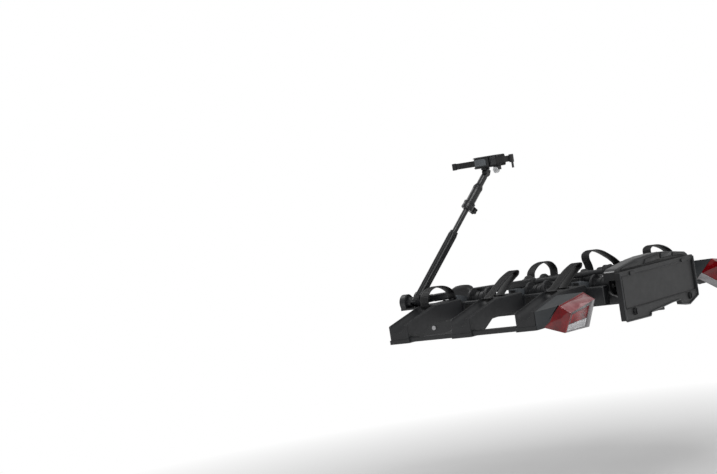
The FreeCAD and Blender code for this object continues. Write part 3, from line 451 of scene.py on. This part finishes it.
BEAM_FACE, WELL_Z, WELL_HALF_Y, WELL_HALF_Z = 262.0, 71.0, 80.0, 22.0
for side, sign in (("left", -1), ("right", 1)):
    rims, shade_plates = bmesh.new(), bmesh.new()
    for y in (-412.5, -657.5):
        outer, inner = rounded(WELL_HALF_Y, WELL_HALF_Z, 11.0), rounded(WELL_HALF_Y - 3.0, WELL_HALF_Z - 3.0, 8.0)
        loops = []
        for out, loop in ((-0.5, inner), (-0.5, outer), (1.8, outer), (1.8, inner)):
            loops.append([rims.verts.new((sign * (BEAM_FACE + out), y + dy, WELL_Z + dz)) for dy, dz in loop])
        tube_of(rims, loops)
        plate(shade_plates, [(sign * (BEAM_FACE - 0.4), y + dy, WELL_Z + dz) for dy, dz in inner], (sign * 0.8, 0, 0))
    finish_piece(side + "_beam_frames", rims, side + "_wing", "tray_plastic", bevel=0.4, smooth=50.0)
    finish_piece(side + "_beam_shade_plates", shade_plates, side + "_wing", "black_plastic", bevel=0.0, look=hollow_painted_shade)

# Buckle levers: grip ribs on top, which falls along the lever, and heads on the cross pins
LEVER_X, LEVER_TOP, LEVER_LENGTH, LEVER_DROP = 262.0, 124.0, 99.0, 12.0
CROSS_PIN_X, CROSS_PIN_Z = 174.0, 100.0
for side, sign in (("left", -1), ("right", 1)):
    for n, y in enumerate(TRAYS):
        body = side + "_lever_" + str(n + 1)
        bm = bmesh.new()
        for k in range(5):
            x = LEVER_X - 7.0 - 6.0 * k
            z = LEVER_TOP - LEVER_DROP * (LEVER_X - x) / LEVER_LENGTH
            corners = ((x, z - 0.6), (x - 2.8, z - 0.9), (x - 2.8, z + 0.8), (x, z + 1.2))
            plate(bm, [(sign * a, y - 14, b) for a, b in corners], (0, 28, 0))
        for end in (-1, 1):
            cylinder(bm, (sign * CROSS_PIN_X, y + end * 17.4, CROSS_PIN_Z),
                     (sign * CROSS_PIN_X, y + end * 19.2, CROSS_PIN_Z), 5.2, 4.4)
        finish_piece(body + "_ribs", bm, body, "lever_plastic", bevel=0.4)


# Hinge stations: raised rims on the discs, nuts on the pins
STATIONS = (-360.0, -592.0, -842.0)
HINGE_X, HINGE_Z, HINGE_REACH = 185.0, 98.0, 36.4
bm = bmesh.new()
for sign in (-1, 1):
    for y in STATIONS:
        for end in (-1, 1):
            face = y + end * HINGE_REACH
            for inner, outer, rise in ((31.0, 36.6, 1.6), (17.0, 21.0, 0.9)):
                ring(bm, (sign * HINGE_X, face - end * 0.4, HINGE_Z),
                     (sign * HINGE_X, face + end * rise, HINGE_Z), inner, outer)
finish_piece("disc_rims", bm, "platform", "black_casting", bevel=0.5)
bm = bmesh.new()
for sign in (-1, 1):
    for y in STATIONS:
        hex_bolt(bm, (sign * HINGE_X, y + HINGE_REACH, HINGE_Z), (0, 1, 0), 8.4, 4.6)
        cap = y - HINGE_REACH - 3.9
        cylinder(bm, (sign * HINGE_X, cap, HINGE_Z), (sign * HINGE_X, cap - 1.0, HINGE_Z), 9.4, 7.6)
finish_piece("hinge_nuts", bm, "platform", "bright_steel", bevel=0.4)

# Arm ears: rims on both sides and a flat nut on the swivel's end
ARM_X, PIVOT_Y, PIVOT_Z = 45.0, 11.0, 104.0
bm = bmesh.new()
for x in (-ARM_X, ARM_X):
    ring(bm, (x, 65.6, PIVOT_Z), (x, 67.6, PIVOT_Z), 21.0, 27.0)
    ring(bm, (x, 44.4, PIVOT_Z), (x, 43.0, PIVOT_Z), 22.5, 27.5)
finish_piece("ear_rims", bm, "platform", "black_casting", bevel=0.5)
for name, x in (("raised", -ARM_X), ("stowed", ARM_X)):
    bm = bmesh.new()
    cylinder(bm, (x, 69.6, PIVOT_Z), (x, 70.5, PIVOT_Z), 13.0, 11.5)
    cylinder(bm, (x, 70.3, PIVOT_Z), (x, 71.8, PIVOT_Z), 7.5, 7.0, segments=6)
    finish_piece(name + "_swivel_nut", bm, name + "_swivel", "bright_steel", bevel=0.5)


# Arms: how each stands on its pivot, with local Z along the arm and local X along its fold pin
def arm_place(x, lean, rake, spin=0.0):
    a, b = math.radians(lean), math.radians(rake)
    across = Vector((math.cos(a), 0, -math.sin(a)))
    along = Vector((math.sin(a), 0, math.cos(a))) * math.cos(b) + Vector((0, -1, 0)) * math.sin(b)
    turn = Matrix((across, along.cross(across), along)).transposed().to_4x4()
    return Matrix.Translation((x, PIVOT_Y, PIVOT_Z)) @ turn @ Matrix.Rotation(math.radians(spin), 4, "Z")


# Place of the lower tube, place of the sleeve, then along the arm the tube's end and the sleeve's start and end
ARMS = {
    "raised": (arm_place(-ARM_X, 33, 22), arm_place(-ARM_X, 33, 22), 280.0, 385.0, 480.0),
    "stowed": (arm_place(ARM_X, 0, 88.1), arm_place(ARM_X, 0, 88.1, -90), 440.0, 730.0, 780.0),
}
for name, (straight, turned, low_end, sleeve_start, sleeve_end) in ARMS.items():
    bm = bmesh.new()
    for end in (-1, 1):
        hex_bolt(bm, (end * 18.2, 0, 0), (end, 0, 0), 6.2, 3.6)
    finish_piece(name + "_pin_heads", bm, name + "_swivel", "black_casting", bevel=0.3, place=straight)
    bm = bmesh.new()
    ring(bm, (0, 0, low_end + 1.0), (0, 0, low_end + 6.5), 14.2, 15.4)
    ring(bm, (0, 0, low_end + 8.5), (0, 0, low_end + 11.0), 14.2, 15.0)
    for n in range(4):
        angle = math.radians(45 + 90 * n)
        spot = Vector((math.cos(angle), math.sin(angle), 0)) * 14.3 + Vector((0, 0, low_end - 14))
        cylinder(bm, spot, spot + Vector((math.cos(angle), math.sin(angle), 0)) * 1.6, 3.0, 2.2)
    finish_piece(name + "_tube_end", bm, name + "_lower_arm", "black_plastic", bevel=0.3, place=straight)
    bm = bmesh.new()
    for at in (3.0, 7.5, 22.5, 27.0):
        ring(bm, (0, 0, sleeve_start + at), (0, 0, sleeve_start + at + 2.0), 20.6, 21.8)
    ring(bm, (0, 0, sleeve_end - 7.0), (0, 0, sleeve_end - 2.0), 16.8, 18.0)
    ring(bm, (0, 0, sleeve_end - 12.0), (0, 0, sleeve_end - 9.6), 16.8, 17.6)
    finish_piece(name + "_sleeve_rings", bm, name + "_upper_arm", "black_plastic", bevel=0.4, place=turned)
    bm = bmesh.new()
    knob_at = sleeve_start + 15
    cylinder(bm, (42.2, 0, knob_at), (43.6, 0, knob_at), 8.0, 7.0)
    for n in range(5):
        angle = 2 * math.pi * n / 5
        spot = Vector((42.2, 9 * math.cos(angle), knob_at + 9 * math.sin(angle)))
        cylinder(bm, spot, spot + Vector((1.0, 0, 0)), 3.6, 2.8)
    finish_piece(name + "_knob_cap", bm, name + "_knob", "black_plastic", bevel=0.3, place=turned)

# Frame holder, from its knuckle at the arm's tip. Lever: slate grip pad in a dark frame
ARM_LENGTH = 540.0
level = Matrix.Translation(ARMS["raised"][0] @ Vector((0, 0, ARM_LENGTH)))
bm = bmesh.new()
plate(bm, [(-24.4, y, z) for y, z in ((-20, 27.5), (27, 27.5), (27, 51.5), (-14, 51.5), (-20, 45))], (5.0, 0, 0))
for n in range(5):
    y = -12 + 7.5 * n
    block(bm, (-25.0, -24.2), (y, y + 3.0), (30.5, 48.5))
pad = finish_piece("holder_grip_pad", bm, "holder_lever", "lever_plastic", bevel=0.9, segments=3, place=level)
bm = bmesh.new()
block(bm, (-21.9, -12.6), (-31.5, 30.5), (23.2, 54.8))
block(bm, (-23.6, -21.6), (-31.5, -24.5), (23.2, 54.8))
finish_piece("holder_lever_frame", bm, "holder_lever", "black_plastic", bevel=1.2, segments=3, place=level)
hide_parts("holder_pump_lever")

# Claw with its hanging tab at the strap's end, rib block, coloured lighter as a painted highlight on its ribs, and
# frame on the body's side
bm = bmesh.new()
block(bm, (-9, 9), (-121, -111), (24.5, 53.5))
block(bm, (-6, 6), (-119.5, -116.5), (4, 26))
for n in range(3):
    block(bm, (-7.5, 7.5), (-122.2, -120.6), (29 + 8 * n, 32.5 + 8 * n))
finish_piece("strap_claw", bm, "frame_holder", "black_plastic", bevel=1.4, segments=3, place=level)
bm = bmesh.new()
for n in range(4):
    block(bm, (-24.2, -18.6), (-62.5 + 5.4 * n, -58.8 + 5.4 * n), (24.5, 55))
block(bm, (-22.4, -18.6), (-63, -41.5), (25.5, 54))
finish_piece("holder_rib_block", bm, "frame_holder", "black_casting", bevel=0.6, look=edge_painted_highlight, place=level)
bm = bmesh.new()
for y0, y1, z0, z1 in ((-64.5, 34, 55.4, 58.2), (-64.5, 34, 20.6, 22.6), (-39.5, -36.0, 23, 55),
                       (-76, -67, 24, 56)):
    block(bm, (-22.3, -19.4), (y0, y1), (z0, z1))
finish_piece("holder_side_frame", bm, "frame_holder", "black_plastic", bevel=0.7, place=level)

# Boss and bright ring round the key lock, which faces left
LOCK = Vector((206.6, -247.25, 528.95))
bm = bmesh.new()
ring(bm, LOCK + Vector((2.6, 0, 0)), LOCK + Vector((8.0, 0, 0)), 8.9, 11.4)
finish_piece("lock_boss", bm, "frame_holder", "black_plastic", bevel=0.8, segments=3)
bm = bmesh.new()
ring(bm, LOCK + Vector((-1.2, 0, 0)), LOCK + Vector((2.8, 0, 0)), 8.8, 11.6)
finish_piece("lock_ring", bm, "frame_holder", "chrome", bevel=0.6, segments=3)

# Seam and screws on top of the body, rim round its knuckle, rubber in its saddle
bm = bmesh.new()
for x0, x1, y0, y1 in ((-13.0, 13.0, -58.0, -56.2), (-13.0, 13.0, 22.2, 24.0), (-13.0, -11.2, -58.0, 24.0),
                       (11.2, 13.0, -58.0, 24.0)):
    block(bm, (x0, x1), (y0, y1), (59.3, 60.3))
for x, y in ((-7.0, -48.0), (7.0, -48.0), (0.0, 14.0)):
    cylinder(bm, (x, y, 59.3), (x, y, 60.4), 2.8, 2.2)
ring(bm, (0, 0, 12.5), (0, 0, 16.5), 14.8, 16.2)
finish_piece("holder_top_seam", bm, "frame_holder", "black_plastic", bevel=0.4, place=level)
bm = bmesh.new()
for n in range(9):
    angle = math.radians(50 + 10 * n)
    spot = Matrix.Translation((0, -89, 0)) @ Matrix.Rotation(angle, 4, "Z")
    block(bm, (16.6, 18.3), (-1.3, 1.3), (20.5, 57.5), spot)
finish_piece("saddle_rubber", bm, "frame_holder", "strap_rubber", bevel=0.3, place=level)

# Base plate bolts
bm = bmesh.new()
for x in (-34.0, 34.0):
    for y in (-118.0, -86.0):
        hex_bolt(bm, (x, y, 84), (0, 0, 1), 6.0, 5.0)
finish_piece("base_bolts", bm, "platform", "bright_steel", bevel=0.3)

# Number plate panel: corner screws, a rim round the recess, a raised edge all round, coloured lighter as a painted
# highlight, and the clips' knobs
FACE = -945.0
bm = bmesh.new()
for x, z in ((-257, 129), (257, 129), (-257, -10), (252, 6)):
    cylinder(bm, (x, FACE + 0.4, z), (x, FACE - 1.6, z), 4.6, 3.4)
finish_piece("panel_screws", bm, "platform", "black_casting", bevel=0.3)
bm = bmesh.new()
for x0, x1, z0, z1 in ((-250, 260, 121.0, 123.6), (-251.6, -248.8, 17, 122), (258.8, 261.6, 18, 122),
                       (-250, 260, 13.4, 15.4)):
    block(bm, (x0, x1), (FACE - 1.4, FACE + 0.6), (z0, z1))
finish_piece("panel_rim", bm, "platform", "black_plastic", bevel=0.6)
EDGE = ((-265.4, 133), (-265.4, -20), (-260, -25.6), (-96, -28.4), (-91, -22), (-88, -16.4), (-8, -10.4),
        (75, -4.4), (128, -3.6), (132, -14), (138, -19.4), (194, -27.2), (202, -24), (264, -4.4), (265.4, 2),
        (265.4, 133))
bm = bmesh.new()
for (x0, z0), (x1, z1) in zip(EDGE, EDGE[1:]):
    ahead = Vector((x1 - x0, 0, z1 - z0)).normalized()
    inward = Vector((-ahead.z, 0, ahead.x)) * 4.2
    low, high = Vector((x0, FACE + 1.0, z0)), Vector((x1, FACE + 1.0, z1))
    plate(bm, [low, high, high + inward, low + inward], (0, -6.0, 0))
finish_piece("panel_edge", bm, "platform", "black_casting", bevel=1.6, segments=3, look=edge_painted_highlight)
bm = bmesh.new()
for x in (-195.0, 205.0):
    ring(bm, (x, FACE - 4.6, 2), (x, FACE - 6.0, 2), 7.5, 11.4)
    block(bm, (x - 2.2, x + 2.2), (FACE - 9.4, FACE - 7.6), (-7, 11))
finish_piece("clip_knob_rings", bm, "platform", "black_plastic", bevel=0.5)

# Rear cover: glossy crown along its top, coloured lighter than the casting as a painted highlight, bare pad and
# shallow facets on its front
COVER = -929.0
CROWN = ((-261, 141), (-254.5, 147.6), (-246, 151.4), (-110, 168.4), (-50, 172.4), (50, 172.4), (110, 168.4),
         (246, 151.4), (254.5, 147.6), (261, 141))
PAD = ((60, 150.5), (67.5, 167.5), (141, 163.5), (133.5, 148.8))
FACETS = (((-60, 143), (-48, 159), (48, 164.5), (54, 146.5)),
          ((148, 147.5), (154, 160.5), (226, 149.5), (232, 142.5)),
          ((-226, 141.5), (-214, 148.5), (-110, 161), (-76, 143)))
bm = bmesh.new()
for (x0, z0), (x1, z1) in zip(CROWN, CROWN[1:]):
    ahead = Vector((x1 - x0, 0, z1 - z0)).normalized()
    down = Vector((ahead.z, 0, -ahead.x)) * 2.6
    low, high = Vector((x0, COVER + 2.5, z0)), Vector((x1, COVER + 2.5, z1))
    plate(bm, [low, high, high + down, low + down], (0, 38.0, 0))
bmesh.ops.remove_doubles(bm, verts=bm.verts, dist=0.01)
finish_piece("cover_crown", bm, "platform", "black_casting", bevel=1.2, segments=3, look=crown_painted_highlight)
bm = bmesh.new()
plate(bm, [(x, COVER - 1.6, z) for x, z in PAD], (0, -3.4, 0))
finish_piece("badge_pad", bm, "platform", "black_casting", bevel=1.4, segments=3)
bm = bmesh.new()
for outline in FACETS:
    plate(bm, [(x, COVER + 0.6, z) for x, z in outline], (0, -4.4, 0))
finish_piece("cover_facets", bm, "platform", "black_plastic", bevel=2.0, segments=3)

# Hump between the arms, over the front of the beam: height, half width, half length and shift to the rear
HUMP = ((83.6, 20.5, 50, 0), (104, 20.5, 50, 0), (122, 19.5, 46, 0), (133, 17, 38, 1), (139, 11.5, 26, 2),
        (141.2, 5, 10, 2))
HUMP_X, HUMP_Y, HUMP_SIDES = 2.5, -160, 32


def squared(value):
    """Sine or cosine pulled out towards a rectangle's corner."""
    return math.copysign(abs(value) ** 0.6, value)


bm = bmesh.new()
rows = []
for z, wide, long, back in HUMP:
    row = []
    for n in range(HUMP_SIDES):
        a = 2 * math.pi * n / HUMP_SIDES
        row.append(bm.verts.new((HUMP_X + squared(math.cos(a)) * wide,
                                 HUMP_Y - back + squared(math.sin(a)) * long, z)))
    rows.append(row)
loft(bm, rows)
finish_piece("beam_hump", bm, "platform", "black_plastic", bevel=0.0, smooth=60.0)


# Lights: a dark red side, a paler band along the top, and the framed rear face with its ribbed clear part.
# Corners of the left one: A to D round the top band, E and F along the lower edge, G and H at the front
A, B = Vector((-622, -918, 81)), Vector((-462, -918, 103))
C, D = Vector((-622, -957, 54)), Vector((-462, -957, 77))
E, F = Vector((-622, -925, -6)), Vector((-468, -925, -8))
G, H = Vector((-622, -852, 17)), Vector((-462, -852, 39))
INSIDE = (A + B + C + D + E + F + G + H) / 8


def facet(bm, corners, u=(0.0, 1.0), v=(0.0, 1.0), thick=3.0, out=0.0, gap=0.25):
    """Part of a four-cornered face as a plate whose outer side lies on it; u runs along its top, v down."""
    p, q, r, t = corners

    def at(a, b):
        return (p * (1 - a) + q * a) * (1 - b) + (t * (1 - a) + r * a) * b

    normal = (q - p).cross(t - p).normalized()
    if normal.dot(INSIDE - at(0.5, 0.5)) > 0:
        normal = -normal
    wide, tall = (q - p).length, (t - p).length
    du, dv = gap / wide, gap / tall
    ends = [at(a, b) for a, b in ((u[0] + du, v[0] + dv), (u[1] - du, v[0] + dv),
                                  (u[1] - du, v[1] - dv), (u[0] + du, v[1] - dv))]
    top = [bm.verts.new(point + normal * out) for point in ends]
    low = [bm.verts.new(point - normal * thick) for point in ends]
    bm.faces.new(top)
    bm.faces.new(low[::-1])
    for n in range(4):
        m = (n + 1) % 4
        bm.faces.new((top[m], top[n], low[n], low[m]))


BAND, OUTER, UNDER, INNER, REAR = (A, B, D, C), (A, C, E, G), (E, F, H, G), (D, B, H, F), (C, D, F, E)
CLEAR_RIBS = 11
TONGUE = ((-916, 81), (-916, 83), (-894, 58), (-877, 33), (-858, 22), (-850, 17))
for side, mirror in (("left", Matrix()), ("right", Matrix.Diagonal((-1, 1, 1, 1)))):
    body = side + "_wing"
    bm = bmesh.new()
    facet(bm, OUTER)
    facet(bm, UNDER)
    facet(bm, INNER, v=(0.0, 0.72))
    finish_piece(side + "_lens_side", bm, body, "red_lens", bevel=1.0, segments=3, look=wrap_red, place=mirror)
    bm = bmesh.new()
    facet(bm, BAND, v=(0.0, 0.10), out=0.5)
    facet(bm, REAR, (0.085, 0.80), (0.12, 0.60), out=-0.3)
    facet(bm, REAR, (0.0, 0.06), (0.0, 1.0))
    red = finish_piece(side + "_lens_panel", bm, body, "red_lens", bevel=0.6, place=mirror)
    bm = bmesh.new()
    facet(bm, BAND, v=(0.10, 1.0))
    finish_piece(side + "_lens_band", bm, body, "red_lens", bevel=0.8, look=band_pink, place=mirror)
    bm = bmesh.new()
    facet(bm, REAR, (0.06, 0.86), (0.0, 0.12), out=0.4)
    facet(bm, REAR, (0.06, 0.085), (0.12, 0.60), out=0.4)
    facet(bm, REAR, (0.80, 0.86), (0.12, 0.94), out=0.4)
    finish_piece(side + "_lens_frame", bm, body, "slate_plastic", bevel=0.5, look=frame_grey, place=mirror)
    bm = bmesh.new()
    for n in range(CLEAR_RIBS):
        start, end = (0.06 + 0.74 * k / CLEAR_RIBS for k in (n, n + 1))
        facet(bm, REAR, (start, end), (0.60, 0.94), out=0.2, gap=0.5)
    ribs = finish_piece(side + "_lens_ribs", bm, body, "clear_lens", bevel=0.7, place=mirror)
    bm = bmesh.new()
    facet(bm, REAR, (0.86, 1.0), (0.0, 1.0))
    facet(bm, REAR, (0.06, 0.86), (0.94, 1.0))
    facet(bm, INNER, v=(0.72, 1.0))
    finish_piece(side + "_lens_edge", bm, body, "clear_lens", bevel=0.7, look=tread_grey, place=mirror)
    bm = bmesh.new()
    plate(bm, [(-622.5, y, z) for y, z in TONGUE], (1.2, 0, 0))
    finish_piece(side + "_housing_tongue", bm, body, "slate_plastic", bevel=0.6, place=mirror)
    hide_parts(side + "_light_red_lens")
    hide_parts(side + "_light_clear_lens")

# Coupling lever: grip ribs and bolt head
bm = bmesh.new()
for n in range(7):
    y = -163 + 7.5 * n
    block(bm, (65.0, 83.0), (y, y + 2.6), (41.4, 42.9))
finish_piece("lever_grip_ribs", bm, "coupling_lever", "black_plastic", bevel=0.5)
bm = bmesh.new()
hex_bolt(bm, (72, 18, 34), (1, 0, 0), 8.0, 6.0)
finish_piece("lever_bolt_head", bm, "coupling_lever", "bright_steel", bevel=0.4)


# Stage, in metres. The floor lies low enough for the tilted deck, and fades to white away from the part
FLOOR_DROP, FLOOR_HALF = 0.58, 40.0
FADE_START, FADE_END = 0.9, 2.6
WORLD_STRENGTH = 0.35
AIM = Vector((0, -0.45, 0.1))
LAMPS = (("key", (-2.6, -2.0, 2.8), 60, 1.8), ("fill", (1.8, -3.0, 1.8), 16, 2.6),
         ("rim", (0.5, 2.6, 2.4), 34, 2.0))


def stage():
    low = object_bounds()[0]
    floor_mesh = bpy.data.meshes.new("floor")
    corners = [(sx * FLOOR_HALF, sy * FLOOR_HALF, 0) for sx, sy in ((-1, -1), (1, -1), (1, 1), (-1, 1))]
    floor_mesh.from_pydata(corners, [], [(0, 1, 2, 3)])
    floor = bpy.data.objects.new("floor", floor_mesh)
    floor.location.z = low[2] - FLOOR_DROP
    scene.collection.objects.link(floor)
    m = Nodes("floor")
    m.shader.inputs["Roughness"].default_value = 0.7
    m.shader.inputs["Base Color"].default_value = (0.90, 0.90, 0.90, 1)
    m.join(m.bump(m.noise(40, 2.0), 0.02, 0.0005), m.shader.inputs["Normal"])
    white = m.add("ShaderNodeEmission")
    white.inputs["Color"].default_value = (1, 1, 1, 1)
    near = m.add("ShaderNodeVectorMath", operation="LENGTH")
    m.join(m.place, near.inputs[0])
    far = m.add("ShaderNodeMapRange")
    far.inputs["From Min"].default_value = FADE_START
    far.inputs["From Max"].default_value = FADE_END
    m.join(near.outputs["Value"], far.inputs["Value"])
    rays = m.add("ShaderNodeLightPath")
    seen = m.add("ShaderNodeMath", operation="MAXIMUM")
    m.join(rays.outputs["Is Camera Ray"], seen.inputs[0])
    m.join(rays.outputs["Is Glossy Ray"], seen.inputs[1])
    both = m.add("ShaderNodeMath", operation="MULTIPLY")
    m.join(far.outputs["Result"], both.inputs[0])
    m.join(seen.outputs["Value"], both.inputs[1])
    mix = m.add("ShaderNodeMixShader")
    m.join(both.outputs["Value"], mix.inputs["Fac"])
    m.join(m.shader.outputs["BSDF"], mix.inputs[1])
    m.join(white.outputs["Emission"], mix.inputs[2])
    m.join(mix.outputs["Shader"], m.tree.nodes["Material Output"].inputs["Surface"])
    floor_mesh.materials.append(m.mat)
    floor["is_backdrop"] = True

    world = bpy.data.worlds.new("studio")
    world.use_nodes = True
    scene.world = world
    tree = world.node_tree
    light = tree.nodes["Background"]
    light.inputs["Color"].default_value = (1, 1, 1, 1)
    light.inputs["Strength"].default_value = WORLD_STRENGTH
    paper = tree.nodes.new("ShaderNodeBackground")
    paper.inputs["Color"].default_value = (1, 1, 1, 1)
    path = tree.nodes.new("ShaderNodeLightPath")
    top = tree.nodes.new("ShaderNodeMath")
    top.operation = "MAXIMUM"
    tree.links.new(path.outputs["Is Camera Ray"], top.inputs[0])
    tree.links.new(path.outputs["Is Transmission Ray"], top.inputs[1])
    mix = tree.nodes.new("ShaderNodeMixShader")
    tree.links.new(top.outputs["Value"], mix.inputs["Fac"])
    tree.links.new(light.outputs["Background"], mix.inputs[1])
    tree.links.new(paper.outputs["Background"], mix.inputs[2])
    tree.links.new(mix.outputs["Shader"], tree.nodes["World Output"].inputs["Surface"])

    for name, spot, watts, size in LAMPS:
        data = bpy.data.lights.new(name, "AREA")
        data.energy = watts
        data.size = size
        lamp = bpy.data.objects.new(name, data)
        lamp.location = spot
        lamp.rotation_euler = (AIM - Vector(spot)).to_track_quat("-Z", "Y").to_euler()
        scene.collection.objects.link(lamp)


stage()
scene.view_settings.view_transform = "Standard"
